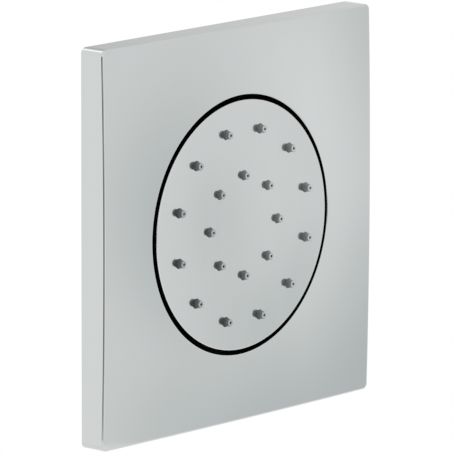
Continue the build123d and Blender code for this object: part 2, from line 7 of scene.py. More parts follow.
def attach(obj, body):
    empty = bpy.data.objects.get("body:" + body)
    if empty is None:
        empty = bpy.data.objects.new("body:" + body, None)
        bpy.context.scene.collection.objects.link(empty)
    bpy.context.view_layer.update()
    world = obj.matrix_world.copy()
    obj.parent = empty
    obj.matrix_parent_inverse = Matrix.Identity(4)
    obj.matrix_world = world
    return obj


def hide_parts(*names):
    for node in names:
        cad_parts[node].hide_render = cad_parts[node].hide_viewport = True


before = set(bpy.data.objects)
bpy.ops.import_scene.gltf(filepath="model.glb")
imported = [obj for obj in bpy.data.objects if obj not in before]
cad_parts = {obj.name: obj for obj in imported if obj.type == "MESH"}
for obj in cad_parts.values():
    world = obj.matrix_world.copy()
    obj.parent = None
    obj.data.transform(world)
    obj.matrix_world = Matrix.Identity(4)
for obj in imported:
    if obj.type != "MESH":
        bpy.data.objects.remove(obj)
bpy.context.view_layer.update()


# Wall seal
# A square gasket die-cut from closed-cell foam, with a round hole for the cup and four for the screws.
# It lies on the wall under the cup's flange, and the screws squeeze it flat.
class Wire:
    """A socket in a node tree. Sums and products of wires add the nodes that work them out."""

    def __init__(self, tree, socket):
        self.tree = tree
        self.socket = socket

    def node(self, kind, settings=None, values=None, out=0):
        """Add any node: settings first, then the values or wires of its sockets."""
        made = self.tree.nodes.new(kind)
        for name, value in (settings or {}).items():
            if name == "stops":
                ramp = made.color_ramp
                while len(ramp.elements) < len(value):
                    ramp.elements.new(0.5)
                for element, (position, tone) in zip(ramp.elements, value):
                    element.position = position
                    element.color = (tone, tone, tone, 1)
            else:
                setattr(made, name, value)
        for name, value in (values or {}).items():
            if isinstance(value, Wire):
                self.tree.links.new(value.socket, made.inputs[name])
            else:
                made.inputs[name].default_value = value
        return Wire(self.tree, made.outputs[out])

    def math(self, operation, first, second=0.0):
        return self.node("ShaderNodeMath", {"operation": operation}, {0: first, 1: second})

    def __add__(self, other):
        return self.math("ADD", self, other)

    __radd__ = __add__

    def __sub__(self, other):
        return self.math("SUBTRACT", self, other)

    def __rsub__(self, other):
        return self.math("SUBTRACT", other, self)

    def __mul__(self, other):
        return self.math("MULTIPLY", self, other)

    __rmul__ = __mul__

    def __truediv__(self, other):
        return self.math("DIVIDE", self, other)

    def noise(self, scale, detail=3.0, roughness=0.5):
        return self.node(
            "ShaderNodeTexNoise",
            {},
            {"Vector": self, "Scale": scale, "Detail": detail, "Roughness": roughness},
        )

    def cells(self, scale):
        return self.node("ShaderNodeTexVoronoi", {}, {"Vector": self, "Scale": scale})

    def step(self, low, high):
        """0 below low and 1 above high, with a soft step between."""
        return self.node(
            "ShaderNodeMapRange",
            {"interpolation_type": "SMOOTHSTEP"},
            {"Value": self, "From Min": low, "From Max": high},
        )

    def tint(self, dark, light):
        """A colour between two, by this wire's value."""
        return self.node(
            "ShaderNodeMix", {"data_type": "RGBA"}, {0: self, 6: (*dark, 1), 7: (*light, 1)}, out=2
        )

    def split(self):
        """The x, y and z of a place."""
        made = self.node("ShaderNodeSeparateXYZ", {}, {0: self}).socket.node
        return [Wire(self.tree, output) for output in made.outputs]

    def into(self, shader, name):
        self.tree.links.new(self.socket, shader.inputs[name])

    def bump(self, shader, strength, depth):
        """Raise the surface by this wire's value times the depth in metres."""
        self.node(
            "ShaderNodeBump", {}, {"Height": self, "Strength": strength, "Distance": depth}
        ).into(shader, "Normal")


def finish_named(name, **fixed):
    """A new material, its shader with the fixed values set, and the place on the object."""
    plain = bpy.data.materials.get(name)
    if plain:
        plain.name = name + "_plain"
    material = bpy.data.materials.new(name)
    material.use_nodes = True
    tree = material.node_tree
    shader = tree.nodes["Principled BSDF"]
    for socket, value in fixed.items():
        shader.inputs[socket.replace("_", " ").title().replace("Ior", "IOR")].default_value = value
    place = Wire(tree, tree.nodes.new("ShaderNodeTexCoord").outputs["Object"])
    return material, shader, place


def dress(node_name, material):
    """Give a CAD node its finish."""
    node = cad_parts[node_name]
    node.data.materials.clear()
    node.data.materials.append(material)


# Grains of a finish are counted per metre, and the depths of its relief are in metres
FOAM_CELLS = 1400.0
FOAM_PATCHES = 220.0
FOAM_DARK = (0.03, 0.03, 0.033)
FOAM_LIGHT = (0.075, 0.075, 0.08)
FOAM_CELL_DEPTH = 0.0002
seal_foam, foam_shader, foam_place = finish_named("seal_foam", roughness=0.92)
foam_cells = foam_place.cells(FOAM_CELLS)
foam_shade = foam_cells + 0.5 * foam_place.noise(FOAM_PATCHES)
foam_shade.tint(FOAM_DARK, FOAM_LIGHT).into(foam_shader, "Base Color")
foam_cells.bump(foam_shader, 0.6, FOAM_CELL_DEPTH)
dress("wall_seal", seal_foam)


# Mounting cup
# A black moulding: a square flange with an upstand all round, and a cup that tapers to a thick floor.
# Eight fins stiffen the cone. It is let into the wall, and four screws hold its flange.
MM = 0.001
TURN_STEPS = 144
BAR_STEPS = 48
ARC_STEPS = 5
ARC_SUPPORT = 0.06
SHARP = radians(32)
MERGE_WITHIN = 1e-7


def rounded(outline, steps=ARC_STEPS, support=ARC_SUPPORT):
    """Points of a closed outline of (radius, height, round) corners, with a point beside each arc."""
    points = []
    count = len(outline)
    for index, (radius, height, round_off) in enumerate(outline):
        corner = Vector((radius, height))
        if round_off == 0:
            points.append(corner)
            continue
        before = Vector(outline[index - 1][:2]) - corner
        after = Vector(outline[(index + 1) % count][:2]) - corner
        half = before.angle(after) / 2
        reach = round_off / tan(half)
        start = corner + before.normalized() * reach
        end = corner + after.normalized() * reach
        inwards = (before.normalized() + after.normalized()).normalized()
        centre = corner + inwards * (round_off / sin(half))
        points.append(start + before.normalized() * support)
        for step in range(steps + 1):
            share = step / steps
            points.append(centre + (start - centre).slerp(end - centre, share) * round_off)
        points.append(end + after.normalized() * support)
    return points


def at(radius, angle, height):
    """A place from its distance to the jet's axis, its angle and its height in front of the wall."""
    return (radius * cos(angle), -height, radius * sin(angle))


def mesh_of(verts, faces, sharp=SHARP):
    """A clean mesh from places in millimetres, facing outwards, smooth between its sharp edges."""
    form = bmesh.new()
    made = [form.verts.new(Vector(vert) * MM) for vert in verts]
    for face in faces:
        corners = []
        for index in face:
            if made[index] not in corners:
                corners.append(made[index])
        if len(corners) > 2:
            form.faces.new(corners)
    bmesh.ops.remove_doubles(form, verts=form.verts, dist=MERGE_WITHIN)
    bmesh.ops.recalc_face_normals(form, faces=form.faces)
    mesh = bpy.data.meshes.new("form")
    form.to_mesh(mesh)
    form.free()
    mesh.shade_smooth()
    mesh.set_sharp_from_angle(angle=sharp)
    return mesh


def wrapped(rings, closed=True):
    """Faces between rings of equal length, the last ring joined to the first unless both are poles."""
    columns = len(rings[0])
    verts = [vert for ring in rings for vert in ring]
    faces = []
    for row in range(len(rings) if closed else len(rings) - 1):
        here = row * columns
        there = (row + 1) % len(rings) * columns
        for column in range(columns):
            beside = (column + 1) % columns
            faces.append((here + column, here + beside, there + beside, there + column))
    return verts, faces


def turned(outline, steps=TURN_STEPS):
    """A closed form turned about the jet's axis."""
    rings = []
    for radius, height in outline:
        rings.append([at(radius, 2 * pi * step / steps, height) for step in range(steps)])
    return mesh_of(*wrapped(rings, closed=outline[0][0] + outline[-1][0] > 0))


def bar(radius, back, front, steps=BAR_STEPS):
    """A plain round bar on the jet's axis."""
    return turned([(0, back), (radius, back), (radius, front), (0, front)], steps)


def square_ring(half, corner, height, side_steps=40, corner_steps=8):
    """Places round a square with rounded corners, the same number for every size."""
    ring = []
    straight = half - corner
    for quarter in range(4):
        turn = quarter * pi / 2
        for step in range(side_steps):
            along = straight * (2 * step / side_steps - 1)
            ring.append((half * cos(turn) - along * sin(turn), half * sin(turn) + along * cos(turn)))
        for step in range(corner_steps):
            angle = turn + step / corner_steps * pi / 2
            x = straight * cos(turn) - straight * sin(turn)
            z = straight * sin(turn) + straight * cos(turn)
            ring.append((x + corner * cos(angle), z + corner * sin(angle)))
    return [(x, -height, z) for x, z in ring]


def circle_ring(radius, height, like):
    """Places round a circle, each in the direction of the matching place of another ring."""
    return [at(radius, atan2(place[2], place[0]), height) for place in like]


def scene_object(name, mesh):
    """A mesh in the scene, at the origin."""
    made = bpy.data.objects.new(name, mesh)
    bpy.context.scene.collection.objects.link(made)
    return made


def joined(name, meshes, sharp=SHARP):
    """One object from several meshes."""
    form = bmesh.new()
    for mesh in meshes:
        form.from_mesh(mesh)
    whole = bpy.data.meshes.new(name)
    form.to_mesh(whole)
    form.free()
    whole.shade_smooth()
    whole.set_sharp_from_angle(angle=sharp)
    return scene_object(name, whole)


def settled(holder):
    """The evaluated mesh of a helper object, which is then removed."""
    bpy.context.view_layer.update()
    evaluated = holder.evaluated_get(bpy.context.evaluated_depsgraph_get())
    mesh = bpy.data.meshes.new_from_object(evaluated)
    bpy.data.objects.remove(holder)
    return mesh


def node_group(name, inputs):
    """A Geometry Nodes tree with named inputs, and a wire for each."""
    tree = bpy.data.node_groups.new(name, "GeometryNodeTree")
    for label, kind in inputs:
        tree.interface.new_socket(label, in_out="INPUT", socket_type=kind)
    tree.interface.new_socket("Geometry", in_out="OUTPUT", socket_type="NodeSocketGeometry")
    entry = tree.nodes.new("NodeGroupInput")
    return tree, {label: Wire(tree, entry.outputs[label]) for label, kind in inputs}


def close_group(tree, shape, finish):
    """End a tree: real faces for every copy, and one finish."""
    solid = shape.node("GeometryNodeRealizeInstances", {}, {0: shape})
    finished = solid.node("GeometryNodeSetMaterial", {}, {"Geometry": solid, "Material": finish})
    leave = tree.nodes.new("NodeGroupOutput")
    tree.links.new(finished.socket, leave.inputs["Geometry"])


def grown(tree, **values):
    """The plain mesh that a Geometry Nodes tree makes from these inputs."""
    holder = scene_object("grown", bpy.data.meshes.new("seed"))
    modifier = holder.modifiers.new("grow", "NODES")
    modifier.node_group = tree
    for item in tree.interface.items_tree:
        label = item.name.lower().replace(" ", "_")
        if item.in_out == "INPUT" and label in values:
            modifier[item.identifier] = values[label]
    return settled(holder)


# Copies of one form turned round the jet's axis
round_axis, given = node_group(
    "round_the_axis",
    [
        ("Form", "NodeSocketObject"),
        ("Count", "NodeSocketInt"),
        ("First Turn", "NodeSocketFloat"),
        ("Finish", "NodeSocketMaterial"),
    ],
)
form = given["Form"].node("GeometryNodeObjectInfo", {}, {"Object": given["Form"]}, out="Geometry")
points = form.node("GeometryNodePoints", {}, {"Count": given["Count"]})
turn = form.node("GeometryNodeInputIndex") * (2 * pi) / given["Count"]
turns = form.node("ShaderNodeCombineXYZ", {}, {"Y": 0.0 - turn - given["First Turn"]})
copies = form.node(
    "GeometryNodeInstanceOnPoints", {}, {"Points": points, "Instance": form, "Rotation": turns}
)
close_group(round_axis, copies, given["Finish"])

# Copies of one form at the four corners of a rectangle on the wall
at_corners, given = node_group(
    "at_four_corners",
    [
        ("Form", "NodeSocketObject"),
        ("Spacing X", "NodeSocketFloat"),
        ("Spacing Z", "NodeSocketFloat"),
        ("Finish", "NodeSocketMaterial"),
    ],
)
form = given["Form"].node("GeometryNodeObjectInfo", {}, {"Object": given["Form"]}, out="Geometry")
grid = form.node(
    "GeometryNodeMeshGrid",
    {},
    {"Size X": given["Spacing X"], "Size Y": given["Spacing Z"], "Vertices X": 2, "Vertices Y": 2},
)
upright = form.node("GeometryNodeTransform", {}, {"Geometry": grid, "Rotation": (pi / 2, 0, 0)})
copies = form.node("GeometryNodeInstanceOnPoints", {}, {"Points": upright, "Instance": form})
close_group(at_corners, copies, given["Finish"])


def spread_round(mesh, count, first_angle, finish):
    """Copies of a mesh turned evenly round the jet's axis."""
    pattern = scene_object("pattern", mesh)
    whole = grown(round_axis, form=pattern, count=count, first_turn=radians(first_angle), finish=finish)
    bpy.data.objects.remove(pattern)
    return whole


def spread_square(mesh, spacing_x, spacing_z, finish):
    """Copies of a mesh at four corners."""
    pattern = scene_object("pattern", mesh)
    whole = grown(
        at_corners, form=pattern, spacing_x=spacing_x * MM, spacing_z=spacing_z * MM, finish=finish
    )
    bpy.data.objects.remove(pattern)
    return whole


def cut_out(mesh, cutters):
    """A mesh with other closed meshes taken away from it."""
    holder = scene_object("blank", mesh)
    tools = []
    for cutter in cutters:
        tool = scene_object("cutter", cutter)
        boolean = holder.modifiers.new("cut", "BOOLEAN")
        boolean.operation = "DIFFERENCE"
        boolean.solver = "EXACT"
        boolean.object = tool
        tools.append(tool)
    result = settled(holder)
    for tool in tools:
        bpy.data.objects.remove(tool)
    return result


def coated(piece, finish, body, *nodes):
    """Give a finished piece its one material, its body and the CAD nodes that it stands for."""
    piece.data.materials.clear()
    piece.data.materials.append(finish)
    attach(piece, body)
    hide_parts(*nodes)


BLACK_DARK = (0.009, 0.009, 0.0095)
BLACK_LIGHT = (0.016, 0.016, 0.0165)
SPARK_GRAINS = 2600.0
SPARK_DEPTH = 0.00006
black_moulding, moulding_shader, moulding_place = finish_named("black_moulding", specular_ior_level=0.4)
spark = moulding_place.noise(SPARK_GRAINS, 2.0)
haze = moulding_place.noise(60.0, 4.0)
haze.tint(BLACK_DARK, BLACK_LIGHT).into(moulding_shader, "Base Color")
(0.42 + 0.22 * haze).into(moulding_shader, "Roughness")
spark.bump(moulding_shader, 0.35, SPARK_DEPTH)

# Sizes are in millimetres, and heights are counted from the wall towards the room
CUP_HALF = 57.6
CUP_CORNER = 1.5
CUP_RADIUS = 44.0
CUP_WALL = 2.2
CUP_TOP = 6.2
FLANGE_BACK = 1.5
FLANGE_FRONT = 4.0
UPSTAND_WALL = 1.8
UPSTAND_EDGE = 0.3
UPSTAND_CORNER = 0.5
STRAIGHT_BACK = -5.0
FLOOR_FRONT = -20.454
FLOOR_BACK = -23.954
FLOOR_RADIUS = 23.975
CUP_HOLE = 11.25
HUB_RADIUS = 20.0
HUB_WALL = 2.0
HUB_BACK = -26.454
SCREW_SPACING = (76.0, 94.0)
SCREW_HOLE = 2.6
BUSH_SPACING = (98.0, 47.99)
BUSH_HOLE = 4.2
BUSH_PAD = 6.4
BUSH_PAD_FRONT = 5.0
PAD_SUNK = 1.0
BORE_BACK = -1.0
SCREW_BORE_STEPS = 32
FIN_COUNT = 8
FIN_DEPTH = 3.0
FIN_ROOT = 2.4
FIN_EDGE = 1.5
FIN_SUNK = 1.0
MOULD_EDGE = 0.4
HOLE_EDGE = 0.3
CONE_ROUND = 1.5
FLOOR_ROUND = 1.2
WALL_ROUND = 2.0

cup_shell = turned(
    rounded([
        (CUP_RADIUS, CUP_TOP, MOULD_EDGE),
        (CUP_RADIUS + CUP_WALL, CUP_TOP, MOULD_EDGE),
        (CUP_RADIUS + CUP_WALL, STRAIGHT_BACK, CONE_ROUND),
        (FLOOR_RADIUS + CUP_WALL, FLOOR_BACK, FLOOR_ROUND),
        (HUB_RADIUS + HUB_WALL, FLOOR_BACK, MOULD_EDGE),
        (HUB_RADIUS + HUB_WALL, HUB_BACK, MOULD_EDGE),
        (HUB_RADIUS, HUB_BACK, MOULD_EDGE),
        (HUB_RADIUS, FLOOR_BACK, MOULD_EDGE),
        (CUP_HOLE, FLOOR_BACK, HOLE_EDGE),
        (CUP_HOLE, FLOOR_FRONT, HOLE_EDGE),
        (FLOOR_RADIUS, FLOOR_FRONT, CONE_ROUND),
        (CUP_RADIUS, STRAIGHT_BACK, WALL_ROUND),
    ])
)
upstand_inside = CUP_HALF - UPSTAND_WALL
flange_section = [
    (CUP_HALF, CUP_CORNER, FLANGE_BACK),
    (CUP_HALF, CUP_CORNER, CUP_TOP - UPSTAND_EDGE),
    (CUP_HALF - UPSTAND_EDGE, CUP_CORNER - UPSTAND_EDGE, CUP_TOP),
    (upstand_inside + UPSTAND_EDGE, UPSTAND_CORNER + 0.2, CUP_TOP),
    (upstand_inside, UPSTAND_CORNER, CUP_TOP - UPSTAND_EDGE),
    (upstand_inside, UPSTAND_CORNER, FLANGE_FRONT),
]
flange_rings = [square_ring(*ring) for ring in flange_section]
flange_rings.append(circle_ring(CUP_RADIUS + CUP_WALL / 2, FLANGE_FRONT, flange_rings[0]))
flange_rings.append(circle_ring(CUP_RADIUS + CUP_WALL / 2, FLANGE_BACK, flange_rings[0]))
pad = bar(BUSH_PAD, FLANGE_FRONT - PAD_SUNK, BUSH_PAD_FRONT)
bush_bore = bar(BUSH_HOLE, BORE_BACK, CUP_TOP)
screw_bore = bar(SCREW_HOLE, BORE_BACK, CUP_TOP, SCREW_BORE_STEPS)
bush_bores = spread_square(bush_bore, *BUSH_SPACING, black_moulding)
screw_bores = spread_square(screw_bore, *SCREW_SPACING, black_moulding)
cup_flange = cut_out(mesh_of(*wrapped(flange_rings)), [screw_bores, bush_bores])
pads = cut_out(spread_square(pad, *BUSH_SPACING, black_moulding), [bush_bores])
# One fin, thicker at its root as a moulding has to be, between the straight wall and the floor
fin_line = [
    (CUP_RADIUS + CUP_WALL, STRAIGHT_BACK),
    (CUP_RADIUS + CUP_WALL, STRAIGHT_BACK - FIN_DEPTH),
    (FLOOR_RADIUS + CUP_WALL + FIN_DEPTH, FLOOR_BACK),
]
fin_root = [(CUP_RADIUS + FIN_SUNK, STRAIGHT_BACK), (FLOOR_RADIUS + FIN_SUNK, FLOOR_BACK)]
fin_verts = []
for side in (-1, 1):
    fin_verts += [(radius, -height, side * FIN_EDGE / 2) for radius, height in fin_line]
    fin_verts += [(radius, -height, side * FIN_ROOT / 2) for radius, height in reversed(fin_root)]
corners = len(fin_line) + len(fin_root)
fin_faces = [tuple(range(corners)), tuple(range(corners, 2 * corners))]
for step in range(corners):
    beside = (step + 1) % corners
    fin_faces.append((step, beside, beside + corners, step + corners))
fins = spread_round(mesh_of(fin_verts, fin_faces), FIN_COUNT, 0, black_moulding)
cup = joined("moulded_cup", [cup_shell, cup_flange, pads, fins])
coated(cup, black_moulding, "wall_unit", "mounting_cup")


# Wall screws
# Four stainless pan-head screws with rolled threads and pressed cross recesses.
# They are driven through the cup's flange and the seal into the wall.
STEEL_DARK = (0.54, 0.53, 0.51)
STEEL_LIGHT = (0.64, 0.63, 0.61)
STEEL_GRAINS = 900.0
STEEL_GRAIN_DEPTH = 0.00003
stainless_steel, steel_shader, steel_place = finish_named("stainless_steel", metallic=1.0)
drawn = steel_place.noise(STEEL_GRAINS, 2.0)
steel_place.noise(140.0).tint(STEEL_DARK, STEEL_LIGHT).into(steel_shader, "Base Color")
(0.2 + 0.2 * drawn).into(steel_shader, "Roughness")
drawn.bump(steel_shader, 0.15, STEEL_GRAIN_DEPTH)

# A rolled or cut thread: a tapered ridge that follows a helix into the wall, run out at both ends
RIDGE_ROOT_SHARE = 0.96
RUN_OUT_SHARE = 0.05
RUN_OUT_SIZE = 0.02
thread_tree, given = node_group(
    "helical_thread",
    [
        ("Core Radius", "NodeSocketFloat"),
        ("Depth", "NodeSocketFloat"),
        ("Pitch", "NodeSocketFloat"),
        ("Crest", "NodeSocketFloat"),
        ("Turns", "NodeSocketFloat"),
        ("Steps", "NodeSocketInt"),
        ("Start", "NodeSocketFloat"),
        ("Finish", "NodeSocketMaterial"),
    ],
)
core = given["Core Radius"]
middle_radius = core + given["Depth"] / 2
helix = core.node(
    "GeometryNodeCurveSpiral",
    {},
    {
        "Resolution": given["Steps"],
        "Rotations": given["Turns"],
        "Start Radius": middle_radius,
        "End Radius": middle_radius,
        "Height": given["Turns"] * given["Pitch"],
    },
)
upright = core.node("GeometryNodeSetCurveNormal", {"mode": "Z_UP"}, {"Curve": helix})
along = core.node("GeometryNodeSplineParameter")
full_size = along.step(0.0, RUN_OUT_SHARE) * (1.0 - along.step(1.0 - RUN_OUT_SHARE, 1.0))
run_out = RUN_OUT_SIZE + (1.0 - RUN_OUT_SIZE) * full_size
ridge = core.node(
    "GeometryNodeCurvePrimitiveQuadrilateral",
    {"mode": "TRAPEZOID"},
    {
        "Bottom Width": given["Pitch"] * RIDGE_ROOT_SHARE,
        "Top Width": given["Crest"],
        "Height": given["Depth"],
        "Offset": 0.0,
    },
)
ridge = core.node("GeometryNodeTransform", {}, {"Geometry": ridge, "Rotation": (0, 0, pi / 2)})
sweep = core.node(
    "GeometryNodeCurveToMesh",
    {},
    {"Curve": upright, "Profile Curve": ridge, "Scale": run_out, "Fill Caps": True},
)
inwards = core.node("ShaderNodeCombineXYZ", {}, {"Y": given["Start"]})
thread = core.node(
    "GeometryNodeTransform", {}, {"Geometry": sweep, "Rotation": (-pi / 2, 0, 0), "Translation": inwards}
)
close_group(thread_tree, thread, given["Finish"])


def block(low, high):
    """A plain block between two corners of (x, height, z)."""
    xs, heights, zs = zip(low, high)
    corners = [(x, -height, z) for x in xs for height in heights for z in zs]
    sides = [(0, 1, 3, 2), (4, 5, 7, 6), (0, 1, 5, 4), (2, 3, 7, 6), (0, 2, 6, 4), (1, 3, 7, 5)]
    return mesh_of(corners, sides)


SCREW_CORE = 1.46
SCREW_CORE_FRONT = -0.2
SCREW_NECK = 2.2
SCREW_HEAD = 4.0
SCREW_HEAD_TOP = 6.6
SCREW_HEAD_ROUND = 1.2
SCREW_POINT = -13.0
SCREW_END = -16.0
SCREW_TURN_STEPS = 40
SCREW_PITCH = 1.4
SCREW_THREAD_DEPTH = 0.55
SCREW_CREST = 0.18
SCREW_TURNS = 8.4
SCREW_HELIX_STEPS = 26
SCREW_THREAD_START = 1.3
SCREW_THREAD_SUNK = 0.04
RECESS_LENGTH = 2.3
RECESS_WIDTH = 0.5
RECESS_FLOOR = 5.2
RECESS_TOP = SCREW_HEAD_TOP + 1
screw_blank = turned(
    rounded([
        (0, SCREW_END, 0),
        (SCREW_CORE, SCREW_POINT, 0.3),
        (SCREW_CORE, SCREW_CORE_FRONT, 0),
        (SCREW_NECK, 0, 0.1),
        (SCREW_NECK, FLANGE_FRONT, 0.1),
        (SCREW_HEAD, FLANGE_FRONT, 0.2),
        (SCREW_HEAD, SCREW_HEAD_TOP, SCREW_HEAD_ROUND),
        (0, SCREW_HEAD_TOP, 0),
    ]),
    SCREW_TURN_STEPS,
)
recess = [
    block((-length, RECESS_FLOOR, -width), (length, RECESS_TOP, width))
    for length, width in ((RECESS_LENGTH, RECESS_WIDTH), (RECESS_WIDTH, RECESS_LENGTH))
]
screw_thread = grown(
    thread_tree,
    core_radius=(SCREW_CORE - SCREW_THREAD_SUNK) * MM,
    depth=SCREW_THREAD_DEPTH * MM,
    pitch=SCREW_PITCH * MM,
    crest=SCREW_CREST * MM,
    turns=SCREW_TURNS,
    steps=SCREW_HELIX_STEPS,
    start=SCREW_THREAD_START * MM,
    finish=stainless_steel,
)
one_screw = joined("one_screw", [cut_out(screw_blank, recess), screw_thread])
screws = joined("wall_screws_threaded", [spread_square(one_screw.data, *SCREW_SPACING, stainless_steel)])
bpy.data.objects.remove(one_screw)
coated(screws, stainless_steel, "wall_unit", "wall_screws")


# Inlet body
# A brass bar turned into the ball's socket, a hexagon flange, a clamping shank and a half-inch pipe end.
# The flange pulls against the inside of the cup's floor, and the supply pipe screws on from behind.
BRASS_CLEAN = (0.70, 0.52, 0.25)
BRASS_TARNISHED = (0.58, 0.42, 0.20)
LATHE_MARKS = 5200.0
LATHE_MARK_DEPTH = 0.00002
turned_brass, brass_shader, brass_place = finish_named("turned_brass", metallic=1.0)
brass_x, brass_y, brass_z = brass_place.split()
from_axis = brass_place.math("SQRT", brass_x * brass_x + brass_z * brass_z)
lathe_place = brass_place.node("ShaderNodeCombineXYZ", {}, {"X": from_axis, "Y": brass_y})
lathe_marks = lathe_place.noise(LATHE_MARKS, 2.0)
tarnish = brass_place.noise(95.0, 4.0)
tarnish.step(0.35, 0.75).tint(BRASS_CLEAN, BRASS_TARNISHED).into(brass_shader, "Base Color")
(0.2 + 0.16 * tarnish + 0.1 * lathe_marks).into(brass_shader, "Roughness")
lathe_marks.bump(brass_shader, 0.25, LATHE_MARK_DEPTH)

NUT_BEVEL = tan(radians(25))
NUT_STEPS = 96
NUT_SHARP = radians(20)
NUT_BORE_EDGE = 0.4
NUT_FACE_INSET = 0.3
NUT_EDGE = 0.1


def nut(across_flats, back, front, bore):
    """A hexagon ring with turned corners, like a nut, with its corners to the left and right."""
    flat = across_flats / 2
    sections = []
    for step in range(NUT_STEPS):
        angle = 2 * pi * step / NUT_STEPS
        side = flat / cos(angle % (pi / 3) - pi / 6)
        drop = (side - flat) * NUT_BEVEL
        section = [
            (bore, back + NUT_BORE_EDGE),
            (bore + NUT_BORE_EDGE, back),
            (flat - NUT_FACE_INSET, back),
            (side, back + drop + NUT_EDGE),
            (side, front - drop - NUT_EDGE),
            (flat - NUT_FACE_INSET, front),
            (bore + NUT_BORE_EDGE, front),
            (bore, front - NUT_BORE_EDGE),
        ]
        sections.append([at(radius, angle, height) for radius, height in section])
    return mesh_of(*wrapped(list(zip(*sections))), sharp=NUT_SHARP)


INLET_HEXAGON = 32.0
INLET_HEXAGON_FRONT = -16.254
INLET_HEXAGON_BACK = -19.254
HEXAGON_SUNK = 0.2
SOCKET_FRONT = -12.054
SOCKET_RADIUS = 11.5
SHANK_RADIUS = 11.0
SHANK_BACK = -30.954
RELIEF_RADIUS = 9.6
PIPE_FRONT = -31.954
PIPE_CORE = 9.34
PIPE_THREAD_DEPTH = 1.155
PIPE_PITCH = 1.814
PIPE_CREST = 0.4
PIPE_TURNS = 4.9
PIPE_HELIX_STEPS = 72
PIPE_THREAD_START = 0.95
PIPE_THREAD_SUNK = 0.02
INLET_BACK = -42.954
INLET_BORE = 7.6
PACKING_SEAT = 7.45
PACKING_FRONT = -16.748
PACKING_BACK = -22.154
BALL_ROOM = 8.3
WATERWAY = 4.4
INLET_WEB_BACK = -23.954
inlet_bar = turned(
    rounded([
        (BALL_ROOM, SOCKET_FRONT, 0.2),
        (SOCKET_RADIUS, SOCKET_FRONT, 0.5),
        (SOCKET_RADIUS, INLET_HEXAGON_BACK, 0),
        (SHANK_RADIUS, INLET_HEXAGON_BACK, 0),
        (SHANK_RADIUS, SHANK_BACK, 0.25),
        (RELIEF_RADIUS, SHANK_BACK, 0.15),
        (RELIEF_RADIUS, PIPE_FRONT, 0.1),
        (PIPE_CORE, PIPE_FRONT, 0),
        (PIPE_CORE, INLET_BACK, 0.3),
        (INLET_BORE, INLET_BACK, 0.4),
        (INLET_BORE, INLET_WEB_BACK, 0),
        (WATERWAY, INLET_WEB_BACK, 0),
        (WATERWAY, PACKING_BACK, 0),
        (PACKING_SEAT, PACKING_BACK, 0),
        (PACKING_SEAT, PACKING_FRONT, 0),
        (BALL_ROOM, PACKING_FRONT, 0),
    ])
)
pipe_thread = grown(
    thread_tree,
    core_radius=(PIPE_CORE - PIPE_THREAD_SUNK) * MM,
    depth=PIPE_THREAD_DEPTH * MM,
    pitch=PIPE_PITCH * MM,
    crest=PIPE_CREST * MM,
    turns=PIPE_TURNS,
    steps=PIPE_HELIX_STEPS,
    start=-(PIPE_FRONT - PIPE_THREAD_START) * MM,
    finish=turned_brass,
)
inlet_flange = nut(
    INLET_HEXAGON, INLET_HEXAGON_BACK, INLET_HEXAGON_FRONT, SHANK_RADIUS - HEXAGON_SUNK
)
inlet = joined("inlet_turned", [inlet_bar, pipe_thread, inlet_flange])
coated(inlet, turned_brass, "wall_unit", "inlet_body")


# Clamping of the inlet
# A die-cut rubber gasket under the flange, a pressed steel washer and a brass lock nut.
# They grip the cup's floor between them when the nut is turned on the inlet's shank.
RUBBER_DARK = (0.014, 0.014, 0.014)
RUBBER_LIGHT = (0.03, 0.03, 0.03)
black_rubber, rubber_shader, rubber_place = finish_named("black_rubber", specular_ior_level=0.3)
rubber_bloom = rubber_place.noise(320.0, 4.0)
rubber_bloom.tint(RUBBER_DARK, RUBBER_LIGHT).into(rubber_shader, "Base Color")
(0.6 + 0.25 * rubber_bloom).into(rubber_shader, "Roughness")
dress("flange_gasket", black_rubber)

WASHER_RADIUS = 16.5
WASHER_BACK = -24.954
LOCK_NUT_FLATS = 30.0
LOCK_NUT_BACK = -30.454
washer = joined("lock_washer", [
    turned(
        rounded([
            (CUP_HOLE, WASHER_BACK, 0.15),
            (WASHER_RADIUS, WASHER_BACK, 0.25),
            (WASHER_RADIUS, FLOOR_BACK, 0.1),
            (CUP_HOLE, FLOOR_BACK, 0.1),
        ])
    )
])
coated(washer, stainless_steel, "wall_unit", "nut_washer")
lock_nut_ring = nut(LOCK_NUT_FLATS, LOCK_NUT_BACK, WASHER_BACK, SHANK_RADIUS)
lock_nut = joined("lock_nut_bevelled", [lock_nut_ring], sharp=NUT_SHARP)
coated(lock_nut, turned_brass, "wall_unit", "lock_nut")


# Flow regulator and filter
# A grey moulded insert with a sealing ring limits the flow, and a punched steel screen stops grit.
# Both are pushed into the inlet's bore from behind.
GREY_DARK = (0.26, 0.27, 0.28)
GREY_LIGHT = (0.33, 0.34, 0.35)
GREY_GRAINS = 1900.0
GREY_GRAIN_DEPTH = 0.00005
grey_moulding, grey_shader, grey_place = finish_named("grey_moulding", specular_ior_level=0.45)
flow_marks = grey_place.noise(110.0, 5.0)
flow_marks.tint(GREY_DARK, GREY_LIGHT).into(grey_shader, "Base Color")
(0.35 + 0.2 * flow_marks).into(grey_shader, "Roughness")
grey_place.noise(GREY_GRAINS, 2.0).bump(grey_shader, 0.2, GREY_GRAIN_DEPTH)
dress("flow_regulator", grey_moulding)
dress("regulator_ring", black_rubber)
dress("inlet_filter", stainless_steel)


